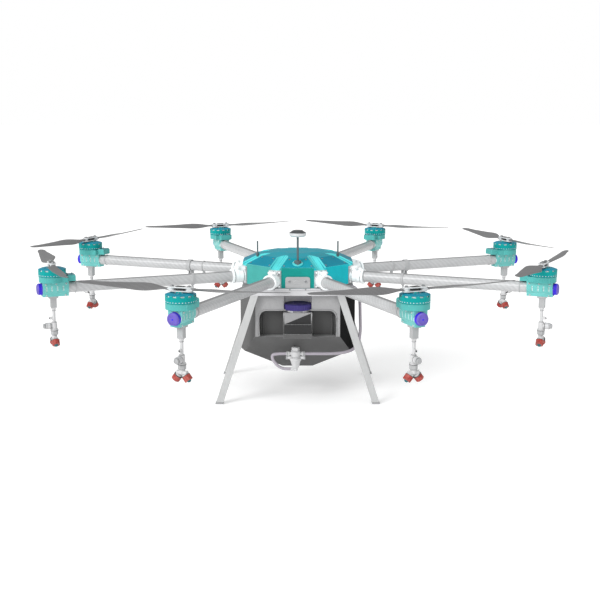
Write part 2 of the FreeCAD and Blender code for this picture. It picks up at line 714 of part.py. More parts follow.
def make_tank():
    wall = val("tank_wall")
    depth = val("recess_depth")
    front = -val("tank_half_y")
    arch_half, arch_top, arch_round = 125.0, 302.0, 24.0
    outer = tank_form("tank_outer", 0.0)
    inner = tank_form("tank_inner", wall)

    def arch(name, grow, back):
        half = arch_half + grow
        top = arch_top + grow
        y_low = front - 40
        lower = box(f"{name}_lower", (-half, y_low, f"[ledge_z] - {grow}"), (half, back, top - arch_round))
        upper = box(
            f"{name}_upper", (arch_round - half, y_low, f"[ledge_z] - {grow}"), (half - arch_round, back, top)
        )
        rounds = []
        for side in (-1, 1):
            rounds.append(
                rod_y(f"{name}_round_{side + 2}", arch_round, y_low, back,
                      side * (half - arch_round), top - arch_round)
            )
        return fuse(name, lower, upper, *rounds)

    recess = arch("tank_recess", 0.0, front + depth)
    recess_skin = arch("tank_recess_skin", wall, front + depth + wall)
    filler = "[filler_y]"
    clear = 3.0
    niche_low = f"[cap_low_z] - {clear}"
    niche = cylinder("cap_niche", f"[cap_radius] + {clear}", 80, (0, filler, niche_low))
    niche_skin = cylinder(
        "cap_niche_skin", f"[cap_radius] + {clear + wall}", 90, (0, filler, f"{niche_low} - {wall}")
    )
    hollow = cut("tank_hollow", inner, recess_skin, niche_skin)
    shell = cut("tank_shell", outer, recess, niche)
    neck_low = 259.0
    neck = cylinder("filler_neck", "[filler_neck_radius]", f"[filler_neck_top] - {neck_low}", (0, filler, neck_low))
    column = box("filler_column", (-43, front - 27, "[ledge_z]"), (43, front + depth, neck_low))
    foot = box("filler_foot", (-46, front - 30, "[ledge_z]"), (46, front + depth, 228))
    rails = []
    for side in (-1, 1):
        near, far = sorted((side * 42.5, side * 47.0))
        rails.append(box(f"filler_rail_{side + 2}", (near, front - 20, "[ledge_z]"), (far, front + depth, 295)))
    panel = box("filler_panel", (-43, front - 19, neck_low), (43, front + depth, 296))
    ribs = []
    for side in (-1, 1):
        for offset in (112.0, 120.0):
            x = side * offset
            ribs.append(
                box(f"tank_rib_{side + 2}_{int(offset)}",
                    (x - 2, front + depth - 5, "[ledge_z]"), (x + 2, front + depth, 282))
            )
    solid_parts = fuse("tank_blank", shell, neck, column, foot, panel, *rails, *ribs)
    bore = cylinder("filler_bore", "[filler_bore_radius]", 200, (0, filler, "[ledge_z] + 14"))
    throat = box("filler_throat", (-28, "[filler_y]", "[ledge_z] + 14"), (28, front + depth + 8, 286))
    sump = cylinder("sump_outlet", 10, 40, (0, 0, "[tank_base_z] - 10"))
    side_outlet = rod_y("side_outlet", 6, -140, -50, "[strainer_x]", 136)
    body = cut("tank_body", solid_parts, hollow, bore, throat, sump, side_outlet)
    subpart(body, "tank")


def make_tank_cap():
    """Ribbed filler cap: a skirt over the neck, closed by its top."""
    body = doc.addObject("PartDesign::Body", "cap_body")
    outline = sketch_on(body, "cap_outline")
    circle_in(outline, "[cap_radius] - 1")
    pad = body.newObject("PartDesign::Pad", "cap_pad")
    pad.Profile = outline
    bind(pad, Length="[cap_high]")
    doc.recompute()
    inside = sketch_on(body, "cap_inside")
    circle_in(inside, "[filler_neck_radius] + 0.5")
    pocket = body.newObject("PartDesign::Pocket", "cap_pocket")
    pocket.Profile = inside
    bind(pocket, Length="[filler_neck_top] - [cap_low_z] + 0.5")
    pocket.Reversed = True
    doc.recompute()
    full = math.pi * (val("cap_radius") - 1) ** 2 * val("cap_high")
    assert pocket.Shape.Volume < 0.8 * full
    rib_sketch = sketch_on(body, "cap_rib_outline")
    circle_in(rib_sketch, 1.4, (val("cap_radius") - 1.4, 0.0))
    rib = body.newObject("PartDesign::Pad", "cap_rib")
    rib.Profile = rib_sketch
    bind(rib, Length="[cap_high] - 2")
    doc.recompute()
    ribs = body.newObject("PartDesign::PolarPattern", "cap_ribs")
    ribs.Originals = [rib]
    z_axis = [f for f in body.Origin.OriginFeatures if f.Role == "Z_Axis"][0]
    ribs.Axis = (z_axis, [""])
    ribs.Angle = 360
    ribs.Occurrences = 36
    body.Tip = ribs
    doc.recompute()
    at = Placement(Vector(0, val("filler_y"), val("cap_low_z")), Rotation())
    subpart(group("tank_cap_group", body, at=at), "tank_cap")


# ---------------------------------------------------------------- plumbing


def hose_path(points):
    """Straight runs joined by tangent arcs, each as large as its two runs allow."""
    edges = []
    radii = []
    cursor = points[0]
    for before, corner, after in zip(points, points[1:], points[2:]):
        run_in = corner - before
        run_out = after - corner
        shorter = min(run_in.Length, run_out.Length)
        turn = run_in.getAngle(run_out)
        radius = 0.45 * shorter / math.tan(turn / 2)
        tangent = 0.45 * shorter
        start = corner - Vector(run_in).normalize() * tangent
        finish = corner + Vector(run_out).normalize() * tangent
        inward = (start + finish) * 0.5 - corner
        to_centre = radius / math.cos(turn / 2)
        centre = corner + Vector(inward).normalize() * to_centre
        middle = centre - Vector(inward).normalize() * radius
        edges.append(Part.LineSegment(cursor, start).toShape())
        edges.append(Part.Arc(start, middle, finish).toShape())
        cursor = finish
        radii.append(round(radius, 1))
    edges.append(Part.LineSegment(cursor, points[-1]).toShape())
    print("hose radii", radii)
    return Part.Wire(edges)


def hose(points):
    """A solid hose along its path, checked against its section times its length."""
    path = hose_path(points)
    radius = val("hose_radius")
    along = points[1] - points[0]
    section = Part.Wire([Part.Circle(points[0], along, radius).toShape()])
    solid = path.makePipeShell([section], True, False)
    expected = math.pi * radius**2 * path.Length
    assert abs(solid.Volume / expected - 1) < 0.02, (solid.Volume, expected)
    return solid


def make_hoses():
    x, y = val("strainer_x"), val("strainer_y")
    wing, barb = 31.0, 16.0
    tray_side = val("tray_half_x")
    high, low = val("wing_high_z"), val("barb_z")
    supply = [
        Vector(x + wing, y, high), Vector(70, y, high), Vector(112, y + 4, high - 1),
        Vector(150, -140, high + 1), Vector(184, -124, 162), Vector(202, -104, 184),
        Vector(208, -86, 220), Vector(207, -76, 264), Vector(206, -72, 308),
        Vector(203, -70, 342), Vector(186, -70, 364), Vector(tray_side, -70, 364),
    ]
    bypass = [
        Vector(x - wing, y, high), Vector(x - 52, y, high), Vector(x - 77, y, high - 3),
        Vector(x - 75, y, high - 20), Vector(x - 58, y, low + 9), Vector(x - 40, y, low),
        Vector(x - barb, y, low),
    ]
    hoses = doc.addObject("Part::Feature", "hose_pair")
    hoses.Shape = Part.makeCompound([hose(supply), hose(bypass)])
    hoses.Placement = Placement()
    subpart(hoses, "tank_hoses")


def make_strainer():
    """Outlet strainer: a hexagon cap, two pairs of hose wings and a tapered bowl."""
    x, y = "[strainer_x]", "[strainer_y]"
    hexagon = prism("strainer_hexagon", 6, 13.0, 12, (x, y, 163))
    head = cylinder("strainer_head", 15, 36, (x, y, 128))
    collar = cylinder("strainer_collar", 18, 8, (x, y, 132))
    bowl = cone("strainer_bowl", 10.0, 17.0, 24, (x, y, 108))
    nub = cylinder("strainer_nub", 6.5, 12, (x, y, "[barb_z] - 6"))
    tail = rod_x("strainer_tail", 5.5, f"{x} - 16", x, y, "[barb_z]")
    members = [hexagon, head, collar, bowl, nub, tail]
    for side in (-1, 1):
        span = sorted((side * 10.0, side * 31.0))
        for label, z in (("high", "[wing_high_z]"), ("low", "[wing_high_z] - 13")):
            members.append(
                rod_x(f"strainer_{label}_{side + 2}", 5.5, f"{x} + {span[0]}", f"{x} + {span[1]}", y, z)
            )
        nut = sorted((side * 20.0, side * 24.0))
        members.append(
            rod_x(
                f"strainer_nut_{side + 2}", 7.5, f"{x} + {nut[0]}", f"{x} + {nut[1]}", y,
                "[wing_high_z]",
            )
        )
    stub = rod_y("strainer_stub", 5.9, y, -82, x, 136)
    body = fuse("strainer_blank", *members, stub)
    clear = tank_form("strainer_clear", 0.0)
    plug = rod_y("strainer_plug", 5.9, -130, -82, x, 136)
    outside = cut("strainer_outside", body, clear)
    seated = fuse("strainer_body", outside, plug)
    drain_stem = cylinder("drain_stem", 9.9, "[tank_wall] + 2", (0, 0, "[tank_base_z]"))
    drain_head = prism("drain_head", 6, 15, 7, (0, 0, "[tank_base_z] - 7"))
    drain = fuse("drain_plug", drain_stem, drain_head)
    subpart(group("strainer_group", seated, drain), "outlet_strainer")


# ---------------------------------------------------------------- landing gear


def splayed_prism(name, top, foot, half_x, half_y):
    """A leg-shaped prism with level ends between two points."""
    face = doc.addObject("Part::Plane", name + "_end")
    bind(face, Length=2 * half_x, Width=2 * half_y)
    face.Placement = Placement(foot - Vector(half_x, half_y, 0), Rotation())
    leg = doc.addObject("Part::Extrusion", name)
    leg.Base = face
    leg.DirMode = "Custom"
    leg.Dir = Vector(top - foot).normalize()
    leg.LengthFwd = (top - foot).Length
    leg.Solid = True
    return leg


def leg_line(side_x, side_y, z):
    """The point on a leg's middle line at a height."""
    top_z = val("tray_low_z")
    top = Vector(side_x * val("leg_top_x"), side_y * val("leg_top_y"), top_z)
    foot = Vector(side_x * val("foot_x"), side_y * val("foot_y"), 0)
    return foot + (top - foot) * (z / top_z)


def make_landing_gear():
    half_x, half_y = val("leg_width") / 2, val("leg_depth") / 2
    wall = 2.0
    legs, feet = [], []
    for side_x in (-1, 1):
        for side_y in (-1, 1):
            tag = f"{'right' if side_x > 0 else 'left'}_{'rear' if side_y > 0 else 'front'}"
            top = leg_line(side_x, side_y, val("tray_low_z"))
            start = leg_line(side_x, side_y, val("foot_high"))
            outer = splayed_prism(f"leg_{tag}", top, start, half_x, half_y)
            inner = splayed_prism(f"leg_hollow_{tag}", top, start, half_x - wall, half_y - wall)
            legs.append(cut(f"leg_tube_{tag}", outer, inner))
            sole = leg_line(side_x, side_y, 0)
            pad = splayed_prism(f"foot_pad_{tag}", start, sole, half_x + 1, half_y + 1)
            plug_top = leg_line(side_x, side_y, 30)
            plug = splayed_prism(f"foot_plug_{tag}", plug_top, sole, half_x - wall, half_y - wall)
            feet.append(fuse(f"foot_{tag}", pad, plug))
    subpart(group("legs_group", *legs), "landing_legs")
    subpart(group("feet_group", *feet), "leg_feet")


# ---------------------------------------------------------------- build and export

make_hub_cover()
make_mounting_tray()
make_front_plate()
make_flight_electronics()
make_antennas()
make_root_brackets()
make_tank()
make_tank_cap()
make_hoses()
make_strainer()
make_landing_gear()
make_arms()
doc.recompute()

for obj in doc.Objects:
    if any(word in ("Invalid", "Error") for word in obj.State):
        raise RuntimeError(f"{obj.Name} failed: {obj.State}")

os.makedirs("parts", exist_ok=True)
for obj in subparts:
    shape = obj.Shape
    if shape.isNull() or not shape.isValid():
        raise RuntimeError(f"{obj.Label} has no valid shape")
    print(f"{obj.Label:20s} solids {len(shape.Solids):3d}  volume {shape.Volume / 1000:9.1f} cm3")
for obj in subparts:
    obj.Shape.exportStep(f"parts/{obj.Label}.step")
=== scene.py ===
"""Looks of the spray drone: finishes, small fittings, floor, lights and camera."""
import json
import math

import bmesh
import bpy
from mathutils import Matrix, Vector


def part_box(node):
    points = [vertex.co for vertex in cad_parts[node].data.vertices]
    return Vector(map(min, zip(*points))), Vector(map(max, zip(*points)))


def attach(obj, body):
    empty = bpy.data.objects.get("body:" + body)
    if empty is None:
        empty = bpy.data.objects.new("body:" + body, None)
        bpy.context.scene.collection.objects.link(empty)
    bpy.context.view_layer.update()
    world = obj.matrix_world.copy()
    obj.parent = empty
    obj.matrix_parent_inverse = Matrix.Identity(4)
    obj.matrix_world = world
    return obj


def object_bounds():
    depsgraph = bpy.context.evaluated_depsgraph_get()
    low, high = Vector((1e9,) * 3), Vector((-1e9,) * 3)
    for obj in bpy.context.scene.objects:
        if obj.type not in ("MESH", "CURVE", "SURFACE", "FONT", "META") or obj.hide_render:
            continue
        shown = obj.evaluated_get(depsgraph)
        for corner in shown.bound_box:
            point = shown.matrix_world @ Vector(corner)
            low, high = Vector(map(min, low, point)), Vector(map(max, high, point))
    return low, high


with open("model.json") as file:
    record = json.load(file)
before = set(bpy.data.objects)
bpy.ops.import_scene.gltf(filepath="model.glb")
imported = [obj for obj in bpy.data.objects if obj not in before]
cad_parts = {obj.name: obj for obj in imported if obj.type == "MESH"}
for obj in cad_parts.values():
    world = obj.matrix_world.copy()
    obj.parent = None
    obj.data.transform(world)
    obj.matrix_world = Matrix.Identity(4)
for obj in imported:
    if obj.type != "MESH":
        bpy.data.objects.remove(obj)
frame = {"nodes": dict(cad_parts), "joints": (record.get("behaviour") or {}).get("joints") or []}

CAD_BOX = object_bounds()
NODES = frame["nodes"]
JOINTS = {joint["name"]: joint for joint in frame["joints"]}
ARMS = range(1, 9)
SIDES = (-1, 1)
MM = 0.001

# Lengths in metres. Those of the tank are in the row frame, the others in the arm's own frames.
FOLD_PIN_ABOVE_TUBE = 0.027
TUBE_RADIUS = 0.0175
BLADE_PIN = 0.025
FAN_Z = -0.156
FAN_OUT = 0.0055
FAN_TILT = math.radians(38)
ARCH_HALF = 0.125
ARCH_TOP = 0.302
LEDGE_Z = 0.214
TANK_FRONT = -0.164
FILLER_Y = -0.146


# ------------------------------------------------------------------ places


def motor_spot(k):
    return Vector(JOINTS[f"rotor_spin_{k}"]["pos_m"])


def arm_angle(k):
    spot = motor_spot(k)
    return math.atan2(spot.y, spot.x)


TUBE_Z = JOINTS["arm_fold_1"]["pos_m"][2] - FOLD_PIN_ABOVE_TUBE
MOTOR_REACH = motor_spot(1).to_2d().length


def arm_frame(k):
    """Turns arm coordinates, x outboard from the hub and z from the tube, into the row frame."""
    return Matrix.Translation((0, 0, TUBE_Z)) @ Matrix.Rotation(arm_angle(k), 4, "Z")


def motor_frame(k):
    """The same directions, from the point of the tube's middle line below the motor."""
    return arm_frame(k) @ Matrix.Translation((MOTOR_REACH, 0, 0))


def rotor_turn(k):
    """The angle of the propeller from its own arm, from where its first blade's pin is."""
    pin = Vector(JOINTS[f"blade_fold_{k}a"]["pos_m"]) - motor_spot(k)
    return math.atan2(pin.y, pin.x) - arm_angle(k)


def rotor_frame(k):
    return motor_frame(k) @ Matrix.Rotation(rotor_turn(k), 4, "Z")


# --------------------------------------------------------------- materials

NOISE_LOW, NOISE_HIGH = 0.3, 0.7
GLOSS_SPREAD = 0.05
COAT_ROUGH = 0.18
CHIP_SCALE = 140.0
FLAT_CORNER, SHARP_CORNER = 0.995, 0.86


def colour(red, green, blue):
    """A linear colour from the 0 to 255 numbers of a paint chart."""
    linear = []
    for value in (red, green, blue):
        share = value / 255
        linear.append(share / 12.92 if share <= 0.04045 else ((share + 0.055) / 1.055) ** 2.4)
    return (*linear, 1.0)


class Nodes:
    """A material's node tree, with short ways to add a node and to link a value."""

    def __init__(self, name):
        self.material = bpy.data.materials.new(name)
        self.material.use_nodes = True
        self.tree = self.material.node_tree
        self.tree.nodes.clear()
        output = self.tree.nodes.new("ShaderNodeOutputMaterial")
        self.shader = self.tree.nodes.new("ShaderNodeBsdfPrincipled")
        self.tree.links.new(self.shader.outputs["BSDF"], output.inputs["Surface"])

    def put(self, socket, value):
        if isinstance(value, bpy.types.NodeSocket):
            self.tree.links.new(value, socket)
        else:
            socket.default_value = value

    def add(self, kind, inputs=None, output=0, **settings):
        made = self.tree.nodes.new(kind)
        for key, value in settings.items():
            setattr(made, key, value)
        for key, value in (inputs or {}).items():
            self.put(made.inputs[key], value)
        return made.outputs[output]

    def math(self, operation, first, second=0.0, clamp=False):
        return self.add("ShaderNodeMath", {0: first, 1: second}, operation=operation, use_clamp=clamp)

    def ramp(self, value, low, high, to_low=0.0, to_high=1.0):
        inputs = {"Value": value, "From Min": low, "From Max": high, "To Min": to_low, "To Max": to_high}
        return self.add("ShaderNodeMapRange", inputs)

    def mix(self, share, first, second):
        made = self.tree.nodes.new("ShaderNodeMix")
        made.data_type = "RGBA"
        self.put(made.inputs[0], share)
        self.put(made.inputs[6], first)
        self.put(made.inputs[7], second)
        return made.outputs[2]

    def split(self, vector):
        """The x, y and z of a vector, as three sockets."""
        parts = self.tree.nodes.new("ShaderNodeSeparateXYZ")
        self.put(parts.inputs[0], vector)
        return parts.outputs

    def noise(self, coords, scale, detail=2.0, roughness=0.5):
        inputs = {"Vector": coords, "Scale": scale, "Detail": detail, "Roughness": roughness}
        return self.add("ShaderNodeTexNoise", inputs)

    def object_coords(self):
        return self.add("ShaderNodeTexCoord", output=3)

    def along_arm(self, k):
        """Object coordinates turned so that x runs along arm k and z is from its tube."""
        inputs = {0: self.object_coords(), 1: (0, 0, -TUBE_Z)}
        moved = self.add("ShaderNodeVectorMath", inputs, operation="ADD")
        inputs = {"Vector": moved, "Angle": -arm_angle(k)}
        return self.add("ShaderNodeVectorRotate", inputs, rotation_type="Z_AXIS")


def twill(nodes, across, along, pitch):
    """Height and shade of a two-over-two twill, from two surface distances."""
    u = nodes.math("DIVIDE", across, pitch)
    v = nodes.math("DIVIDE", along, pitch)
    step = nodes.math("ADD", nodes.math("FLOOR", u), nodes.math("FLOOR", v))
    turn = nodes.math("FLOORED_MODULO", step, 4.0)
    over = nodes.math("LESS_THAN", turn, 1.5)
    bump_u = nodes.math("SINE", nodes.math("MULTIPLY", nodes.math("FRACT", u), math.pi))
    bump_v = nodes.math("SINE", nodes.math("MULTIPLY", nodes.math("FRACT", v), math.pi))
    raised = nodes.math("MULTIPLY", over, bump_u)
    sunk = nodes.math("MULTIPLY", nodes.math("SUBTRACT", 1.0, over), bump_v)
    height = nodes.math("ADD", raised, nodes.math("MULTIPLY", sunk, 0.8))
    return height, over


def tube_twill(nodes, k, pitch):
    """The twill wrapped round the tube of arm k."""
    parts = nodes.split(nodes.along_arm(k))
    around = nodes.math("MULTIPLY", nodes.math("ARCTAN2", parts[1], parts[2]), TUBE_RADIUS)
    return twill(nodes, around, parts[0], pitch)


def finish(
    name, base, rough, metal=0.0, coat=0.0, mottle=0.06, mottle_scale=16.0, grain=0.03,
    grain_scale=650.0, stretch=(1, 1, 1), relief=0.00010, edge=0.35, edge_paint=None,
    edge_radius=0.0014, second=None, second_share=0.5, weave=None, weave_pitch=0.004,
    specular=0.5, extra=None,
):
    """A finish: clouded colour, fine grain, edges of wear and painted highlight, uneven gloss, relief.

    weave is "blade" for a flat weave or an arm's number for one wrapped round its tube.
    """
    nodes = Nodes(name)
    coords = nodes.object_coords()
    stretched = nodes.add("ShaderNodeMapping", {"Vector": coords, "Scale": stretch})
    cloud = nodes.noise(coords, mottle_scale, 3.0)
    fine = nodes.noise(stretched, grain_scale, 2.0, 0.6)
    value = nodes.math(
        "ADD",
        nodes.ramp(cloud, NOISE_LOW, NOISE_HIGH, 1 - mottle, 1 + mottle),
        nodes.ramp(fine, NOISE_LOW, NOISE_HIGH, -grain, grain),
    )
    paint = base
    if second is not None:
        patches = nodes.noise(coords, mottle_scale * 0.6, 4.0, 0.6)
        paint = nodes.mix(nodes.ramp(patches, 0.38, 0.66, 0.0, second_share), base, second)
    height = fine
    if weave is not None:
        if weave == "blade":
            parts = nodes.split(coords)
            tow, over = twill(nodes, parts[0], parts[1], weave_pitch)
        else:
            tow, over = tube_twill(nodes, weave, weave_pitch)
        value = nodes.math("ADD", value, nodes.ramp(tow, 0.0, 1.0, -0.10, 0.05))
        value = nodes.math("ADD", value, nodes.ramp(over, 0.0, 1.0, -0.035, 0.035))
        height = nodes.math("ADD", tow, nodes.math("MULTIPLY", fine, 0.3))
    if extra is not None:
        paint = extra(nodes, paint)
    toned = nodes.add("ShaderNodeHueSaturation", {"Value": value, "Color": paint})
    rounded = nodes.add("ShaderNodeBevel", {"Radius": edge_radius}, samples=4)
    face = nodes.add("ShaderNodeNewGeometry", output=1)
    same = nodes.add("ShaderNodeVectorMath", {0: rounded, 1: face}, output=1, operation="DOT_PRODUCT")
    corner = nodes.ramp(same, FLAT_CORNER, SHARP_CORNER)
    chips = nodes.ramp(nodes.noise(coords, CHIP_SCALE, 3.0, 0.7), 0.35, 0.62, 0.35, 1.0)
    # Sharp edges take the edge colour, mostly lighter: part wear, part painted highlight on the rims.
    wear_and_highlight = nodes.math("MULTIPLY", corner, nodes.math("MULTIPLY", chips, edge))
    lighter = edge_paint or tuple(min(1.0, 0.55 * c + 0.42) for c in base[:3]) + (1.0,)
    nodes.put(nodes.shader.inputs["Base Color"], nodes.mix(wear_and_highlight, toned, lighter))
    gloss = nodes.math(
        "ADD",
        nodes.ramp(cloud, NOISE_LOW, NOISE_HIGH, rough - 0.05, rough + 0.06),
        nodes.ramp(fine, NOISE_LOW, NOISE_HIGH, -GLOSS_SPREAD, GLOSS_SPREAD),
        clamp=True,
    )
    nodes.put(nodes.shader.inputs["Roughness"], gloss)
    inputs = {"Height": height, "Distance": relief, "Strength": 1.0, "Normal": rounded}
    nodes.put(nodes.shader.inputs["Normal"], nodes.add("ShaderNodeBump", inputs))
    nodes.shader.inputs["Metallic"].default_value = metal
    nodes.shader.inputs["Coat Weight"].default_value = coat
    nodes.shader.inputs["Coat Roughness"].default_value = COAT_ROUGH
    nodes.shader.inputs["Specular IOR Level"].default_value = specular
    return nodes.material


# Pale cyan on the edges of teal parts: painted highlight along the rims, with some wear.
PALE_CYAN_HIGHLIGHT = colour(150, 232, 232)
WHITE = colour(255, 255, 255)
SHELL = dict(coat=0.03, specular=0.15, mottle=0.08, mottle_scale=24.0, grain=0.06, grain_scale=420.0,
             relief=0.00012, edge=0.6, edge_paint=PALE_CYAN_HIGHLIGHT, edge_radius=0.0025)
ROOF = dict(SHELL, coat=0.0, specular=0.12)
TANK = dict(mottle_scale=9.0, grain_scale=320.0, relief=0.00018, specular=0.35, edge_radius=0.003)
METAL_TEAL = dict(metal=0.05, mottle=0.08, specular=0.15, edge=0.65, edge_paint=PALE_CYAN_HIGHLIGHT,
                  edge_radius=0.0014)
BRUSHED = dict(metal=0.3, relief=0.00006, edge=0.6)
# Lit and shaded copies of one teal for the shell's panels and roof slopes, by the way each faces:
# painted light and shade.
hub_front = finish("hub_front", colour(8, 138, 130), 0.38, **SHELL)
hub_left = finish("hub_left", colour(66, 158, 152), 0.42, **SHELL)
hub_right = finish("hub_right", colour(4, 186, 198), 0.36, **SHELL)
hub_back = finish("hub_back", colour(10, 140, 150), 0.36, **SHELL)
hub_roof = finish("hub_roof", colour(4, 146, 162), 0.44, **ROOF)
hub_roof_side = finish("hub_roof_side", colour(4, 128, 150), 0.44, **ROOF)
hub_groove = finish("hub_groove", colour(84, 206, 208), 0.40, **SHELL)
tray_white = finish("tray_white", colour(190, 190, 193), 0.52, mottle=0.05, grain=0.05, edge=0.5,
                    edge_paint=WHITE, edge_radius=0.002)
tray_side = finish("tray_side", colour(190, 190, 192), 0.55, mottle=0.07, grain=0.06, edge=0.5,
                   edge_paint=WHITE, edge_radius=0.002)
plate_grey = finish("plate_grey", colour(162, 163, 164), 0.38, grain=0.07, stretch=(0.05, 1, 1),
                    edge_paint=colour(245, 247, 247), **BRUSHED)
dark_case = finish("dark_case", colour(42, 43, 46), 0.6)
antenna_grey = finish("antenna_grey", colour(80, 94, 98), 0.38, metal=0.2, edge=0.5)
antenna_dark = finish("antenna_dark", colour(58, 60, 62), 0.38, edge=0.5)
puck_pale = finish("puck_pale", colour(200, 203, 205), 0.36, metal=0.2, edge=0.5)
bracket_white = finish("bracket_white", colour(246, 250, 251), 0.34, coat=0.2, mottle=0.03, edge=0.5,
                       edge_paint=WHITE)
flange_grey = finish("flange_grey", colour(168, 170, 172), 0.42, metal=0.25, edge=0.6,
                     edge_paint=colour(245, 245, 245))
# One grey moulding: the other tank finishes are lighter and darker copies of tank_grey, painted light
# and shade.
tank_grey = finish("tank_grey", colour(84, 84, 84), 0.46, mottle=0.12, grain=0.07, edge=0.55,
                   edge_paint=colour(150, 150, 150), second=colour(96, 96, 96),
                   **dict(TANK, edge_radius=0.0035))
# Paler upward faces, front posts and the bead round the recess: painted light.
tank_painted_light = finish("tank_painted_light", colour(146, 146, 147), 0.48, mottle=0.08, grain=0.06, edge=0.5,
                    edge_paint=colour(205, 205, 205), **TANK)
# Pale band across the top of the front: painted light.
tank_band_painted_light = finish("tank_band_painted_light", colour(156, 156, 157), 0.48, mottle=0.10, grain=0.06, edge=0.5,
                   edge_paint=colour(190, 190, 190), **TANK)
# Near black right flank: painted shade.
tank_flank_painted_shade = finish("tank_flank_painted_shade", colour(12, 12, 13), 0.60, mottle=0.15, grain=0.08, edge=0.6,
                   edge_paint=colour(110, 110, 110), **dict(TANK, specular=0.08))
# Near white walls of the niche round the neck, which the tray shades: painted light.
tank_niche_painted_light = finish("tank_niche_painted_light", colour(238, 238, 238), 0.50, mottle=0.05, grain=0.05, edge=0.4,
                    edge_paint=WHITE, **TANK)
# Darker recess: painted shade.
tank_shade = finish("tank_shade", colour(70, 70, 70), 0.46, mottle=0.12, grain=0.07, edge=0.45,
                    edge_paint=colour(130, 130, 130), **TANK)
# Darker filler panel: painted shade.
tank_panel_painted_shade = finish("tank_panel_painted_shade", colour(38, 38, 39), 0.50, mottle=0.12, grain=0.07, edge=0.45,
                    edge_paint=colour(104, 104, 104), **TANK)
cap_side = finish("cap_side", colour(56, 46, 112), 0.42, specular=0.3, mottle=0.08, grain=0.05,
                  edge=0.35, edge_paint=colour(110, 98, 170), edge_radius=0.0008)
cap_top = finish("cap_top", colour(16, 6, 92), 0.40, specular=0.25, mottle=0.10, grain=0.05,
                 edge=0.45, edge_paint=colour(84, 70, 150), edge_radius=0.0012)
hose_pale = finish("hose_pale", colour(160, 154, 163), 0.40, coat=0.15, mottle=0.06, grain=0.05)
fitting_white = finish("fitting_white", colour(196, 196, 197), 0.44, mottle=0.05, grain=0.04,
                       edge=0.4, edge_paint=WHITE, edge_radius=0.0008)
fitting_grey = finish("fitting_grey", colour(166, 167, 168), 0.46, mottle=0.06, grain=0.05,
                      edge=0.4, edge_radius=0.0008)
fitting_dark = finish("fitting_dark", colour(52, 53, 54), 0.46, edge=0.4, edge_radius=0.0008)
leg_metal = finish("leg_metal", colour(184, 185, 185), 0.36, mottle=0.04, grain=0.06,
                   stretch=(1, 1, 0.05), edge_paint=colour(240, 240, 240), edge_radius=0.0018,
                   **BRUSHED)
foot_rubber = finish("foot_rubber", colour(150, 151, 152), 0.7, grain=0.08, relief=0.0002)
mount_teal = finish("mount_teal", colour(80, 168, 164), 0.40, **METAL_TEAL)
mount_deep = finish("mount_deep", colour(6, 126, 138), 0.38, **METAL_TEAL)
clamp_mint = finish("clamp_mint", colour(104, 184, 180), 0.42, metal=0.1, mottle=0.08, edge=0.6,
                    edge_paint=colour(215, 248, 244), edge_radius=0.0014, specular=0.35)
slot_pale = finish("slot_pale", colour(205, 232, 230), 0.5, edge=0.2)
end_violet = finish("end_violet", colour(104, 90, 178), 0.42, mottle=0.14, mottle_scale=60.0,
                    grain=0.06, edge=0.5, edge_paint=colour(96, 70, 240), edge_radius=0.0016,
                    specular=0.3)
end_blue = finish("end_blue", colour(50, 30, 200), 0.42, mottle=0.14, mottle_scale=60.0, grain=0.06,
                  edge=0.4, specular=0.3)
bell_teal = finish("bell_teal", colour(4, 148, 146), 0.40, metal=0.05, grain=0.06,
                   stretch=(1, 1, 14), relief=0.00005, specular=0.12, edge=0.65,
                   edge_paint=PALE_CYAN_HIGHLIGHT, edge_radius=0.0012)
bell_top = finish("bell_top", colour(4, 132, 156), 0.40, metal=0.05, specular=0.12, edge=0.65,
                  edge_paint=PALE_CYAN_HIGHLIGHT, edge_radius=0.0012)
coil_white = finish("coil_white", colour(240, 248, 248), 0.5, edge=0.2)
clamp_white = finish("clamp_white", colour(212, 214, 215), 0.40, edge=0.5, edge_paint=WHITE)
clamp_black = finish("clamp_black", colour(14, 14, 15), 0.46, edge=0.4, edge_radius=0.0008)
bolt_steel = finish("bolt_steel", colour(150, 152, 154), 0.30, metal=0.7, edge=0.4,
                    edge_radius=0.0006)
blade_grey = finish("blade_grey", colour(106, 106, 107), 0.46, mottle=0.08, mottle_scale=12.0,
                    grain=0.04, weave="blade", weave_pitch=0.005, relief=0.00006, edge=0.55,
                    edge_paint=colour(190, 190, 190), edge_radius=0.0012)
cap_red = finish("cap_red", colour(158, 50, 44), 0.46, mottle=0.18, mottle_scale=120.0, grain=0.06,
                 second=colour(186, 112, 102), second_share=0.7, edge=0.4,
                 edge_paint=colour(110, 24, 24), edge_radius=0.0012, specular=0.3)
tip_teal = finish("tip_teal", colour(10, 92, 100), 0.40, edge=0.3, edge_radius=0.0006)


def painted_reflection_line(nodes, paint):
    """A darker line along the top of a tube, where the surface faces up: a painted reflection."""
    normal = nodes.add("ShaderNodeTexCoord", output=1)
    share = nodes.ramp(nodes.split(normal)[2], 0.86, 0.97, 0.0, 0.72)
    return nodes.mix(share, paint, colour(70, 71, 72))


tube_weave = {
    k: finish(f"tube_weave_{k}", colour(178, 179, 180), 0.36, coat=0.2, mottle=0.06, grain=0.03,
              weave=k, weave_pitch=0.0045, relief=0.00008, edge=0.3, extra=painted_reflection_line)
    for k in ARMS
}


def paint(node, finishes, choose=None, frame_of=None):
    """Gives a CAD node its finishes; choose picks one from a face's middle and normal."""
    mesh = NODES[node].data
    mesh.materials.clear()
    for material in finishes:
        mesh.materials.append(material)
    if choose is None:
        for face in mesh.polygons:
            face.material_index = 0
        return
    place = {material: index for index, material in enumerate(finishes)}
    back = (frame_of or Matrix.Identity(4)).inverted()
    turn = back.to_3x3()
    for face in mesh.polygons:
        face.material_index = place[choose(back @ face.center, turn @ face.normal)]


# ----------------------------------------------------- finishes on CAD nodes
# Each chooser takes the middle p and the normal n of a face. Heights and sides are in metres.

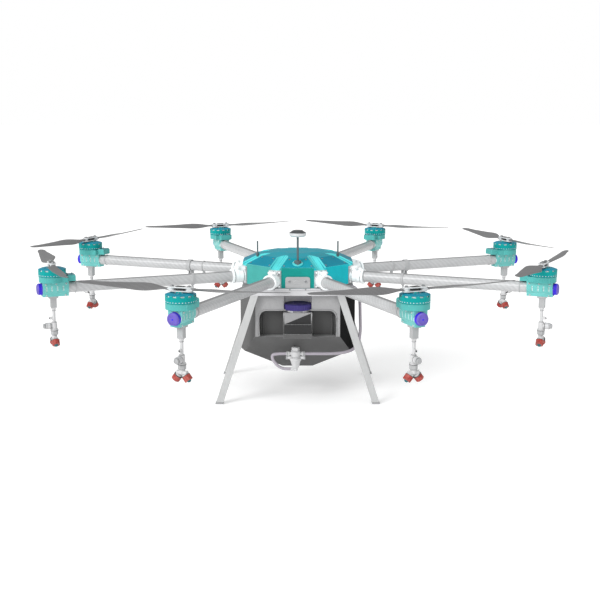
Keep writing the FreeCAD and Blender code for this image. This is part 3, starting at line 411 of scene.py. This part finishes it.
HUB_FACET = 45.0
HUB_EAVE = 0.4255
TRAY_TOP = 0.3715
PLATE_FRONT = -0.18505
PLATE_BOSS_HALF = 0.018
SCREW_SLOT_Y = -0.1864
WHIP_TIP_Z = 0.505
PUCK_LOW, PUCK_DOME = 0.5395, 0.5525
CAP_RIM_Z = 0.319


def hub_choice(p, n):
    """Groove, roof or one of the panels by the way it faces; panels and roof slopes carry painted light
    and shade.
    """
    side = math.degrees(math.atan2(n.y, n.x))
    off_panel = abs((side + HUB_FACET / 2) % HUB_FACET - HUB_FACET / 2)
    between_panels = off_panel > 22 and n.z < 0.05
    if p.z > HUB_EAVE and n.z < 0.99 and off_panel > 2 and not between_panels:
        return hub_groove
    if n.z > 0.1:
        return hub_roof if n.z > 0.995 or -112 < side < -68 else hub_roof_side
    if abs(side + 90) < 12:
        return hub_front
    if side < -90 or side > 150:
        return hub_left
    return hub_right if side < 30 else hub_back


def tray_choice(p, n):
    return tray_white if p.z > TRAY_TOP else tray_side


def plate_choice(p, n):
    """Brushed plate with its boss, and steel screws with dark slots."""
    if p.y > PLATE_FRONT or abs(p.x) < PLATE_BOSS_HALF:
        return plate_grey
    return fitting_dark if p.y > SCREW_SLOT_Y and n.y < -0.9 else bolt_steel


def antenna_choice(p, n):
    """Dark puck dome and whip tips, pale puck, grey rods."""
    if p.z > PUCK_DOME or (abs(p.x) > 0.1 and p.z > WHIP_TIP_Z):
        return antenna_dark
    return puck_pale if p.z > PUCK_LOW else antenna_grey


def cap_choice(p, n):
    return cap_top if n.z > 0.5 and p.z > CAP_RIM_Z else cap_side


BAND_DEPTH = 0.030
FLANK_X = 0.12
NECK_RADIUS, NECK_Z = 0.0490, 0.2955
FILLER_HALF, FILLER_LOW = 0.044, 0.2285


def tank_choice(p, n):
    """Right flank, recess, filler panel: painted shade. Band, posts, niche round the neck: painted
    light.
    """
    # Right flank: painted shade.
    if p.x > FLANK_X and n.x > 0.35:
        return tank_flank_painted_shade
    outside = p.y < TANK_FRONT + 0.002
    # Band along the top of the front: painted light.
    if outside and n.y < -0.9 and p.z > ARCH_TOP - BAND_DEPTH:
        return tank_band_painted_light
    # Upward faces and the front posts: painted light.
    if n.z > 0.5 or (outside and abs(p.x) > ARCH_HALF - 0.002 and n.y < -0.9):
        return tank_painted_light
    # Niche round the neck: painted light.
    if math.hypot(p.x, p.y - FILLER_Y) < NECK_RADIUS and p.z > NECK_Z:
        return tank_niche_painted_light
    # Filler panel: painted shade.
    if abs(p.x) < FILLER_HALF and p.y < TANK_FRONT and p.z > FILLER_LOW:
        return tank_panel_painted_shade
    # Recess: painted shade.
    if p.y > TANK_FRONT - 0.001 and abs(p.x) < ARCH_HALF and LEDGE_Z < p.z < ARCH_TOP:
        return tank_shade
    return tank_grey


FLANGE_REACH = 0.1945
SLEEVE_END = 0.2365


def root_choice(p, n):
    """Grey flange against the hub, white hinge half."""
    return flange_grey if p.to_2d().length < FLANGE_REACH and abs(n.z) < 0.95 else bracket_white


def sleeve_choice(k):
    """White sleeve at the hub end, grey clips, woven tube."""

    def choose(p, n):
        if p.x < SLEEVE_END:
            return bracket_white
        return fitting_grey if math.hypot(p.y, p.z) > TUBE_RADIUS + 0.0006 else tube_weave[k]

    return choose


END_CAP_X, END_CAP_TOP = 0.0331, 0.0165
STATOR_Z, STATOR_RADIUS = 0.0371, 0.038
CLAMP_TOP = 0.0199
SLOT_HALF, SLOT_FLOOR, SLOT_MOUTH = 0.0081, 0.0174, 0.0177


def mount_choice(p, n):
    """Violet end cap, white coils, mint clamp with pale slots, teal block."""
    if p.x > END_CAP_X and p.z < END_CAP_TOP:
        return end_violet if n.x > 0.5 else end_blue
    if p.z > STATOR_Z and math.hypot(p.x, p.y) < STATOR_RADIUS:
        return coil_white
    if p.z < CLAMP_TOP:
        slot_wall = abs(n.x) > 0.9 or abs(p.y) < SLOT_MOUTH
        return slot_pale if abs(p.z) < SLOT_HALF and abs(p.y) > SLOT_FLOOR and slot_wall else clamp_mint
    return mount_deep if n.z > 0.8 else mount_teal


PLATES_Z, BOLT_HEAD_Z = 0.0663, 0.0796
BLOCK_HALF_X, BLOCK_HALF_Y, BLOCK_Z = 0.0125, 0.0085, 0.0696
BELL_TOP_Z, SHAFT_BOSS = 0.0593, 0.0132
BELL_RIM, RIM_LOW, RIM_HIGH = 0.040, 0.0409, 0.0427


def rotor_choice(p, n):
    """White clamp plates, black centre, steel bolts, bell with a darker top and lower rim."""
    radius = math.hypot(p.x, p.y)
    if p.z > PLATES_Z:
        if abs(p.x) < BLOCK_HALF_X and abs(p.y) < BLOCK_HALF_Y and p.z > BLOCK_Z:
            return clamp_black
        return bolt_steel if p.z > BOLT_HEAD_Z else clamp_white
    if p.z > BELL_TOP_Z and radius > SHAFT_BOSS:
        return bell_top
    return bell_top if radius > BELL_RIM and RIM_LOW < p.z < RIM_HIGH else bell_teal


LUG_RADIUS = 0.0118


def blade_choice(p, n):
    """Pale root lug round the pin, woven blade beyond it."""
    return clamp_white if math.hypot(abs(p.x) - BLADE_PIN, p.y) < LUG_RADIUS else blade_grey


FANS_BELOW = -0.145
FAN_CAP_FROM, FAN_TIP_FROM = 0.0085, 0.0252
NOZZLE_BRACKET_Z = -0.0615
KNOB_X = 0.0268
NUT_LOW, NUT_HIGH = -0.1462, -0.1335


def nozzle_choice(p, n):
    """White plumbing, grey bracket, knob and nut, red fan caps with teal tips."""
    along = (abs(p.y) - FAN_OUT) * math.sin(FAN_TILT) + (FAN_Z - p.z) * math.cos(FAN_TILT)
    if p.z < FANS_BELOW and along > FAN_CAP_FROM:
        return tip_teal if along > FAN_TIP_FROM else cap_red
    if p.z > NOZZLE_BRACKET_Z or p.x > KNOB_X or NUT_LOW < p.z < NUT_HIGH:
        return fitting_grey
    return fitting_white


paint("hub_cover", [hub_front, hub_left, hub_right, hub_back, hub_roof, hub_roof_side, hub_groove],
      hub_choice)
paint("mounting_tray", [tray_white, tray_side], tray_choice)
paint("front_plate", [plate_grey, bolt_steel, fitting_dark], plate_choice)
paint("flight_electronics", [dark_case])
paint("antennas", [antenna_grey, antenna_dark, puck_pale], antenna_choice)
paint("tank_hoses", [hose_pale])
paint("outlet_strainer", [fitting_white])
paint("landing_legs", [leg_metal])
paint("leg_feet", [foot_rubber])
paint("tank_cap", [cap_side, cap_top], cap_choice)
paint("tank", [tank_grey, tank_painted_light, tank_band_painted_light, tank_flank_painted_shade, tank_shade, tank_niche_painted_light, tank_panel_painted_shade],
      tank_choice)
paint("arm_root_brackets", [bracket_white, flange_grey], root_choice)
for k in ARMS:
    paint(f"arm_{k}", [tube_weave[k], bracket_white, fitting_grey], sleeve_choice(k), arm_frame(k))
    paint(f"motor_mount_{k}",
          [mount_teal, mount_deep, clamp_mint, slot_pale, end_violet, end_blue, coil_white],
          mount_choice, motor_frame(k))
    paint(f"rotor_{k}", [bell_teal, bell_top, clamp_white, clamp_black, bolt_steel],
          rotor_choice, rotor_frame(k))
    paint(f"nozzle_{k}", [fitting_white, cap_red, fitting_grey, tip_teal],
          nozzle_choice, motor_frame(k))
    for letter in "ab":
        paint(f"blade_{k}{letter}", [blade_grey, clamp_white], blade_choice, rotor_frame(k))


# ---------------------------------------------------------- small fittings
# Every length from here to the stage is in millimetres, in the frame its mesh is made in.

UP = (0, 0, 1)
OUTBOARD = (1, 0, 0)
SMOOTH_UP_TO = math.radians(38)


def aim(x, y, z, axis):
    """A place in millimetres whose own Z points along an axis."""
    turn = Vector(axis).to_track_quat("Z", "Y").to_matrix().to_4x4()
    return Matrix.Translation(Vector((x, y, z)) * MM) @ turn


class Fittings:
    """Small turned and bent shapes gathered in one mesh that rides on one body."""

    def __init__(self, name, body, slot, frame_of=None):
        self.name, self.body, self.slot = name, body, slot
        self.frame = frame_of or Matrix.Identity(4)
        self.bm = bmesh.new()
        self.materials = []

    def finish_index(self, material):
        if material not in self.materials:
            self.materials.append(material)
        return self.materials.index(material)

    def face(self, corners, index):
        made = self.bm.faces.new(corners)
        made.material_index = index
        made.smooth = True

    def turned(self, profile, place, material, segments=24, lobe=0.0):
        """A closed shape of revolution from radius and height pairs; lobe cuts flutes in it."""
        index = self.finish_index(material)
        rings = []
        for radius, height in profile:
            if radius == 0:
                rings.append([self.bm.verts.new(self.frame @ place @ Vector((0, 0, height * MM)))])
                continue
            ring = []
            for step in range(segments):
                angle = math.tau * step / segments
                reach = (radius - (lobe if step % 2 else 0.0)) * MM
                spot = Vector((reach * math.cos(angle), reach * math.sin(angle), height * MM))
                ring.append(self.bm.verts.new(self.frame @ place @ spot))
            rings.append(ring)
        for low_ring, high_ring in zip(rings, rings[1:]):
            self.band(low_ring, high_ring, segments, index)

    def band(self, low_ring, high_ring, segments, index):
        for step in range(segments):
            after = (step + 1) % segments
            if len(low_ring) == 1:
                self.face([low_ring[0], high_ring[step], high_ring[after]], index)
            elif len(high_ring) == 1:
                self.face([low_ring[step], low_ring[after], high_ring[0]], index)
            else:
                self.face([low_ring[step], low_ring[after], high_ring[after], high_ring[step]], index)

    def disc(self, radius, low, high, place, material, segments=24, bevel=0.3):
        """A solid disc with a small bevel on its upper edge."""
        profile = [(0, low), (radius, low), (radius, high - bevel), (radius - bevel, high), (0, high)]
        self.turned(profile, place, material, segments)

    def ring(self, inner, outer, low, high, place, material, segments=32, lobe=0.0):
        """A ring with bevelled outer edges."""
        edge = min(0.4, (high - low) / 3)
        profile = [(inner, low), (outer - edge, low), (outer, low + edge), (outer, high - edge),
                   (outer - edge, high), (inner, high)]
        self.turned(profile, place, material, segments, lobe)

    def screw(self, radius, height, place, material):
        """A cap screw with a hexagonal socket in a domed head."""
        head = [(0, 0), (radius, 0), (radius, height * 0.7), (radius * 0.82, height),
                (radius * 0.5, height)]
        socket = [(radius * 0.5, height), (radius * 0.44, height * 0.45), (0, height * 0.4)]
        self.turned(head, place, material, 18)
        self.turned(socket, place, fitting_dark, 6)

    def tube(self, points, radius, material, sides=10):
        """A round bead along a line of points."""
        index = self.finish_index(material)
        rings = []
        for step, point in enumerate(points):
            before, after = points[max(step - 1, 0)], points[min(step + 1, len(points) - 1)]
            turn = (Vector(after) - Vector(before)).to_track_quat("Z", "Y").to_matrix().to_4x4()
            place = self.frame @ Matrix.Translation(Vector(point) * MM) @ turn
            angles = [math.tau * side / sides for side in range(sides)]
            ring = [place @ (Vector((math.cos(a), math.sin(a), 0)) * radius * MM) for a in angles]
            rings.append([self.bm.verts.new(spot) for spot in ring])
        for low_ring, high_ring in zip(rings, rings[1:]):
            self.band(low_ring, high_ring, sides, index)
        for ring in (rings[0][::-1], rings[-1]):
            self.face(ring, index)

    def done(self):
        bmesh.ops.recalc_face_normals(self.bm, faces=self.bm.faces)
        mesh = bpy.data.meshes.new(self.name)
        self.bm.to_mesh(mesh)
        self.bm.free()
        for material in self.materials:
            mesh.materials.append(material)
        mesh.set_sharp_from_angle(angle=SMOOTH_UP_TO)
        made = bpy.data.objects.new(self.name, mesh)
        bpy.context.scene.collection.objects.link(made)
        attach(made, self.body)


CAP_AXIS_Z = -2
CAP_FACE = 47.0
PIP_CIRCLE = 8.0
VALVE_Z = -118


def pod_fittings(k):
    """Screws, serrated end cap, coils, valve knob and seals on one arm's pod and nozzle."""
    pod = Fittings(f"pod_fittings_{k}", f"arm_{k}", "teal_mount", motor_frame(k))
    for x in (-62, -46):
        for y in (-14, 14):
            pod.screw(2.4, 2.0, aim(x, y, 40, UP), bolt_steel)
    for side in SIDES:
        for x in (-38, -8, 24):
            pod.screw(2.6, 2.2, aim(x, side * 21, 14.5, (0, side, 0)), clamp_white)
        for x in (-36, 22):
            pod.screw(2.4, 2.0, aim(x, side * 15, -21.5, (0, side, 0)), clamp_white)
    out = aim(0, 0, CAP_AXIS_Z, OUTBOARD)
    pod.ring(15.0, 18.8, 33.4, 36.6, out, end_blue, 64, 0.7)
    pod.ring(12.4, 14.2, CAP_FACE, CAP_FACE + 1.2, out, end_violet, 40)
    pod.disc(3.2, CAP_FACE, CAP_FACE + 1.0, out, end_blue, 20)
    for step in range(8):
        angle = math.tau * step / 8
        y, z = PIP_CIRCLE * math.cos(angle), PIP_CIRCLE * math.sin(angle) + CAP_AXIS_Z
        pod.disc(1.2, CAP_FACE, CAP_FACE + 1.0, aim(0, y, z, OUTBOARD), end_blue, 12)
    upright = aim(0, 0, 0, UP)
    pod.ring(35.0, 38.6, 53.2, 58.2, upright, coil_white, 72, 0.5)
    knob = aim(0, 0, VALVE_Z, OUTBOARD)
    pod.ring(5.0, 7.6, 28.0, 33.5, knob, fitting_grey, 36, 0.6)
    pod.ring(5.0, 10.5, 11.4, 12.8, knob, fitting_dark)
    pod.ring(5.0, 10.6, 22.6, 24.4, knob, fitting_grey, 40, 0.4)
    for inner, outer, low, high, material in (
        (4.0, 6.3, -71.5, -69.0, fitting_grey),
        (4.0, 6.6, -108.5, -106.4, fitting_dark),
        (8.0, 12.6, -133.4, -131.9, fitting_dark),
        (6.0, 9.2, -147.4, -145.9, fitting_dark),
    ):
        pod.ring(inner, outer, low, high, upright, material)
    pod.disc(2.2, 0, 2.4, aim(13, 0, -94, OUTBOARD), fitting_dark, 14)
    for side in SIDES:
        slant = Vector((0, side * math.sin(FAN_TILT), -math.cos(FAN_TILT)))
        base = Vector((0, side * FAN_OUT, FAN_Z)) * 1000
        pod.ring(8.0, 12.6, 8.2, 9.6, aim(*base, slant), fitting_dark)
        pod.disc(3.0, 28.6, 29.8, aim(*base, slant), tip_teal, 16)
    pod.done()


RIM_STUDS = 30
RIM_STUD_REACH, RIM_STUD_Z = 41.0, 41.8
BELL_SCREWS = 8
BELL_SCREW_CIRCLE, BELL_FACE = 14.6, 63.4
LOWER_PLATE, UPPER_PLATE = 64.6, 79.4


def rotor_fittings(k):
    """Studs round the bell's lower edge, screws on its top, washers and nuts on the clamp."""
    bell = Fittings(f"rotor_fittings_{k}", f"rotor_{k}", "teal_bell", rotor_frame(k))
    for step in range(RIM_STUDS):
        angle = math.tau * step / RIM_STUDS
        out = (math.cos(angle), math.sin(angle), 0)
        place = aim(RIM_STUD_REACH * out[0], RIM_STUD_REACH * out[1], RIM_STUD_Z, out)
        bell.disc(1.15, 0, 1.3, place, coil_white, 10)
    for step in range(BELL_SCREWS):
        angle = math.tau * step / BELL_SCREWS
        x, y = BELL_SCREW_CIRCLE * math.cos(angle), BELL_SCREW_CIRCLE * math.sin(angle)
        bell.screw(1.6, 1.4, aim(x, y, BELL_FACE, UP), bolt_steel)
    for side in SIDES:
        pin = aim(side * BLADE_PIN * 1000, 0, 0, UP)
        bell.ring(2.6, 6.0, UPPER_PLATE, UPPER_PLATE + 1.0, pin, bolt_steel)
        bell.disc(4.6, UPPER_PLATE + 1.0, UPPER_PLATE + 4.0, pin, bolt_steel, 6)
        bell.disc(4.6, LOWER_PLATE, LOWER_PLATE + 2.0, pin, bolt_steel, 6)
        bell.screw(2.0, 1.6, aim(side * 7, 0, UPPER_PLATE + 1.0, UP), bolt_steel)
    bell.done()


FOLD_PIN_X, FOLD_PIN_Z = 212, 27


def root_fittings():
    """Nuts on the fold pins and seam rings round the fixed barrels."""
    root = Fittings("root_fittings", "airframe", "white_bracket")
    for k in ARMS:
        root.frame = arm_frame(k)
        for side in SIDES:
            nut = aim(FOLD_PIN_X, 0, FOLD_PIN_Z, (0, side, 0))
            root.disc(4.4, 12.4, 14.6, nut, clamp_white, 6)
        root.ring(20.0, 22.3, 196.0, 199.0, aim(0, 0, 0, OUTBOARD), flange_grey, 48)
    root.frame = Matrix.Identity(4)
    root.done()


SLEEVE_BAND = 226.0
POD_INNER_END = 70.0


def sleeve_fittings(k):
    """Clamp bands and their screws where the tube leaves the sleeve and enters the pod."""
    pod_end = MOTOR_REACH * 1000 - POD_INNER_END
    sleeve = Fittings(f"sleeve_fittings_{k}", f"arm_{k}", "white_bracket", arm_frame(k))
    along = aim(0, 0, 0, OUTBOARD)
    sleeve.ring(17.0, 22.4, SLEEVE_BAND, SLEEVE_BAND + 5.0, along, flange_grey, 48)
    sleeve.ring(17.0, 18.6, 236.0, 239.0, along, fitting_grey, 40)
    sleeve.ring(17.0, 19.2, pod_end, pod_end + 2.4, along, fitting_grey, 40)
    for side in SIDES:
        place = aim(SLEEVE_BAND + 2.5, side * 22.0, 0, (0, side, 0))
        sleeve.screw(2.4, 2.2, place, clamp_white)
    sleeve.done()


ROOF_SLOPE = math.radians(24.8)
MAST_Y, MAST_FOOT_Z = -159, 452.8
TRAY_SCREW_HALF, TRAY_SCREW_STEP = 125, 50
INLET_Y, INLET_Z = -70, 364
STRAINER_X, STRAINER_Y = -7, -148
BARB_Z, LOW_BARB_Z = 154, 141
BEAD_CORNER, BEAD_STEPS, BEAD_RADIUS = 24.0, 12, 2.6


def roof_fittings(hub):
    """Screws on the roof's eight slopes and round the mast's base ring."""
    normal = (0, -math.sin(ROOF_SLOPE), math.cos(ROOF_SLOPE))
    for turn in range(8):
        hub.frame = Matrix.Rotation(math.radians(-90 + 45 * turn) + math.pi / 2, 4, "Z")
        for x in (-44, 44):
            hub.screw(2.8, 1.4, aim(x, -172, 446.4, normal), bolt_steel)
            hub.screw(2.8, 1.4, aim(x * 0.6, -138, 462.2, normal), bolt_steel)
        if turn == 0:
            hub.ring(9.0, 17.0, -0.6, 2.2, aim(0, MAST_Y, MAST_FOOT_Z, normal), hub_groove, 40)
            for x, y in ((-13, -158), (13, -158), (0, -171.5)):
                z = 455.0 + (y - MAST_Y) * math.tan(ROOF_SLOPE)
                hub.screw(1.8, 1.2, aim(x, y, z, normal), bolt_steel)
    hub.frame = Matrix.Identity(4)


def strainer_fittings(hub):
    """Collars on the strainer's bowl and nuts on its barbs."""
    upright = aim(STRAINER_X, STRAINER_Y, 0, UP)
    hub.ring(10.0, 18.8, 133.0, 139.4, upright, fitting_white, 48, 0.8)
    hub.ring(10.0, 16.2, 144.0, 145.6, upright, fitting_grey)
    hub.ring(10.0, 16.0, 161.0, 163.2, upright, fitting_grey, 40, 0.4)
    hub.disc(5.0, 174.8, 177.0, upright, fitting_grey, 18)
    for side in SIDES:
        barb = aim(STRAINER_X, STRAINER_Y, BARB_Z, (side, 0, 0))
        hub.ring(4.0, 8.6, 24.6, 29.6, barb, fitting_grey, 6)
        low_barb = aim(STRAINER_X, STRAINER_Y, LOW_BARB_Z, (side, 0, 0))
        hub.ring(3.0, 6.6, 26.0, 31.6, low_barb, fitting_grey, 24, 0.5)


def rim_bead(hub):
    """The raised bead round the recess in the tank's front, pale with painted light."""
    half, top = ARCH_HALF * 1000, ARCH_TOP * 1000
    front = TANK_FRONT * 1000 - 0.4
    bead = [(-half, front, LEDGE_Z * 1000 + 2)]
    for step in range(BEAD_STEPS + 1):
        angle = math.pi - math.pi / 2 * step / BEAD_STEPS
        x = BEAD_CORNER - half + BEAD_CORNER * math.cos(angle)
        bead.append((x, front, top - BEAD_CORNER + BEAD_CORNER * math.sin(angle)))
    bead += [(-x, y, z) for x, y, z in reversed(bead)]
    hub.tube(bead, BEAD_RADIUS, tank_painted_light)


def hub_fittings():
    """Roof and tray screws, the hose's nut on the tray, strainer collars and the tank's bead."""
    hub = Fittings("hub_fittings", "airframe", "grey_plate")
    roof_fittings(hub)
    low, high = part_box("mounting_tray")
    for x in range(-TRAY_SCREW_HALF, TRAY_SCREW_HALF + 1, TRAY_SCREW_STEP):
        for side, face in ((-1, low.y), (1, high.y)):
            place = aim(x, face * 1000, high.z * 1000 - 3.0, (0, side, 0))
            hub.screw(2.4, 1.6, place, bolt_steel)
    inlet = aim(0, INLET_Y, INLET_Z, OUTBOARD)
    hub.ring(5.0, 8.4, 153.0, 159.0, inlet, fitting_grey, 6)
    hub.ring(4.0, 7.0, 159.0, 166.0, inlet, fitting_white)
    strainer_fittings(hub)
    rim_bead(hub)
    hub.done()


def cap_fittings():
    """Raised rings moulded on the filler cap's top."""
    cap = Fittings("filler_cap_rings", "filler_cap", "violet_cap")
    low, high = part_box("tank_cap")
    middle = (low + high) / 2 * 1000
    top = aim(middle.x, middle.y, high.z * 1000, UP)
    cap.ring(33.0, 36.0, -0.4, 0.9, top, cap_side, 64)
    cap.ring(14.0, 15.6, -0.4, 0.8, top, cap_side, 40)
    cap.done()


for k in ARMS:
    pod_fittings(k)
    rotor_fittings(k)
    sleeve_fittings(k)
root_fittings()
hub_fittings()
cap_fittings()

# ------------------------------------------------------------------- stage

FLOOR_HALF = 40.0
FLOOR_DROP = 0.0005
FLOOR_GLOW = 0.25
SKY_SEEN = 1.0
SKY_LIGHT = 0.56

floor_mesh = bpy.data.meshes.new("floor")
floor_bm = bmesh.new()
bmesh.ops.create_grid(floor_bm, x_segments=2, y_segments=2, size=FLOOR_HALF)
floor_bm.to_mesh(floor_mesh)
floor_bm.free()
floor = bpy.data.objects.new("floor", floor_mesh)
bpy.context.scene.collection.objects.link(floor)
floor.location.z = CAD_BOX[0].z - FLOOR_DROP
floor_pale = finish("floor_pale", colour(244, 244, 244), 0.75, mottle=0.01, mottle_scale=2.0,
                    grain=0.01, relief=0.0001, edge=0.0, specular=0.1)
floor_mesh.materials.append(floor_pale)
floor_shader = floor_pale.node_tree.nodes["Principled BSDF"]
floor_shader.inputs["Emission Color"].default_value = WHITE
floor_shader.inputs["Emission Strength"].default_value = FLOOR_GLOW

world = bpy.data.worlds.new("studio")
bpy.context.scene.world = world
world.use_nodes = True
sky = world.node_tree
sky.nodes.clear()
sky_out = sky.nodes.new("ShaderNodeOutputWorld")
behind = sky.nodes.new("ShaderNodeBackground")
behind.inputs["Color"].default_value = (1, 1, 1, 1)
behind.inputs["Strength"].default_value = SKY_SEEN
soft = sky.nodes.new("ShaderNodeBackground")
soft.inputs["Color"].default_value = (1, 1, 1, 1)
soft.inputs["Strength"].default_value = SKY_LIGHT
seen = sky.nodes.new("ShaderNodeLightPath")
either = sky.nodes.new("ShaderNodeMixShader")
sky.links.new(seen.outputs["Is Camera Ray"], either.inputs[0])
sky.links.new(soft.outputs[0], either.inputs[1])
sky.links.new(behind.outputs[0], either.inputs[2])
sky.links.new(either.outputs[0], sky_out.inputs["Surface"])


def sun(name, strength, towards, spread):
    light = bpy.data.lights.new(name, "SUN")
    light.energy = strength
    light.angle = math.radians(spread)
    lamp = bpy.data.objects.new(name, light)
    bpy.context.scene.collection.objects.link(lamp)
    lamp.rotation_mode = "QUATERNION"
    lamp.rotation_quaternion = Vector(towards).normalized().to_track_quat("-Z", "Y")


sun("key_light", 2.0, (0.62, 0.62, -0.48), 30.0)
sun("top_light", 0.6, (0.05, 0.15, -1.0), 60.0)
sun("front_light", 0.5, (-0.10, 1.0, -0.12), 60.0)

camera_data = bpy.data.cameras.new("camera")
camera = bpy.data.objects.new("camera", camera_data)
bpy.context.scene.collection.objects.link(camera)
camera.location = (0.0, -3.5858, 0.9632)
camera.rotation_euler = (math.radians(79.596), 0.0, 0.0)
camera_data.lens = 64.84
camera_data.sensor_width = 36.0
camera_data.shift_x = 0.0038
camera_data.clip_end = 60.0
bpy.context.scene.camera = camera

settings = bpy.context.scene.view_settings
settings.view_transform = "Standard"
settings.look = "None"
